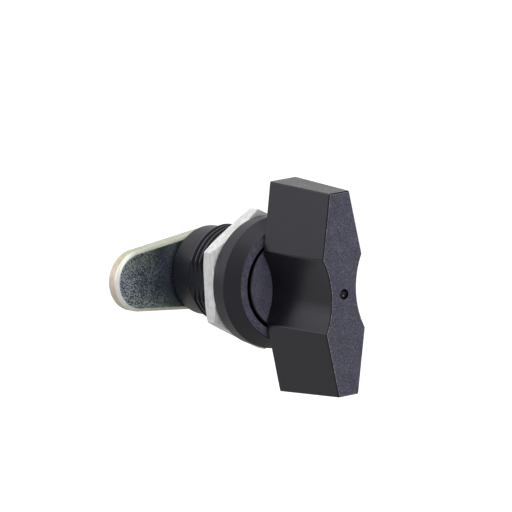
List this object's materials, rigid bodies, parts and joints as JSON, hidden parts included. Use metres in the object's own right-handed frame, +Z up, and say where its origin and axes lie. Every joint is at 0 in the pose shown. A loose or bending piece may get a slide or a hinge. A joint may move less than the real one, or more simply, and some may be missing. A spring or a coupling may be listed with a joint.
{
  "type": "cam lock",
  "caption": "Quarter-turn cam lock with a two-winged turning knob, a chamfered flange, a threaded barrel with flats, a hexagon nut and a flat cam.",
  "frame": {"origin": "on the lock's axis, in the flange's back plane, where it bears on the door panel", "axes": "+Y along the lock's axis from the knob towards the cam, +Z up along the wings at rest, -X towards the cam's tip at rest"},
  "size_m": [0.0393, 0.0595, 0.0464],
  "materials": {
    "black_moulding": "moulded black polyamide, spark-eroded grain on the front faces",
    "seal_rubber": "plain black nitrile rubber",
    "matt_zinc": "matt light grey zinc plating",
    "cam_zinc": "zinc plated steel strip, mottled blue grey",
    "cast_zinc": "plain die-cast zinc alloy",
    "screw_zinc": "bright zinc plated steel"
  },
  "bodies": {
    "housing": {"housing": "black_moulding", "hex_nut": "matt_zinc"},
    "rotor": {"wing_knob": "black_moulding", "spindle": "cast_zinc", "o_ring": "seal_rubber", "cam": "cam_zinc", "flat_washer": "screw_zinc", "spring_washer": "screw_zinc", "cam_screw": "screw_zinc"}
  },
  "joints": [
    {"name": "knob_turn", "type": "hinge", "parent": "housing", "child": "rotor", "pos_m": [0, 0, 0], "axis": [0, 1, 0], "range_deg": [0, 90]}
  ]
}
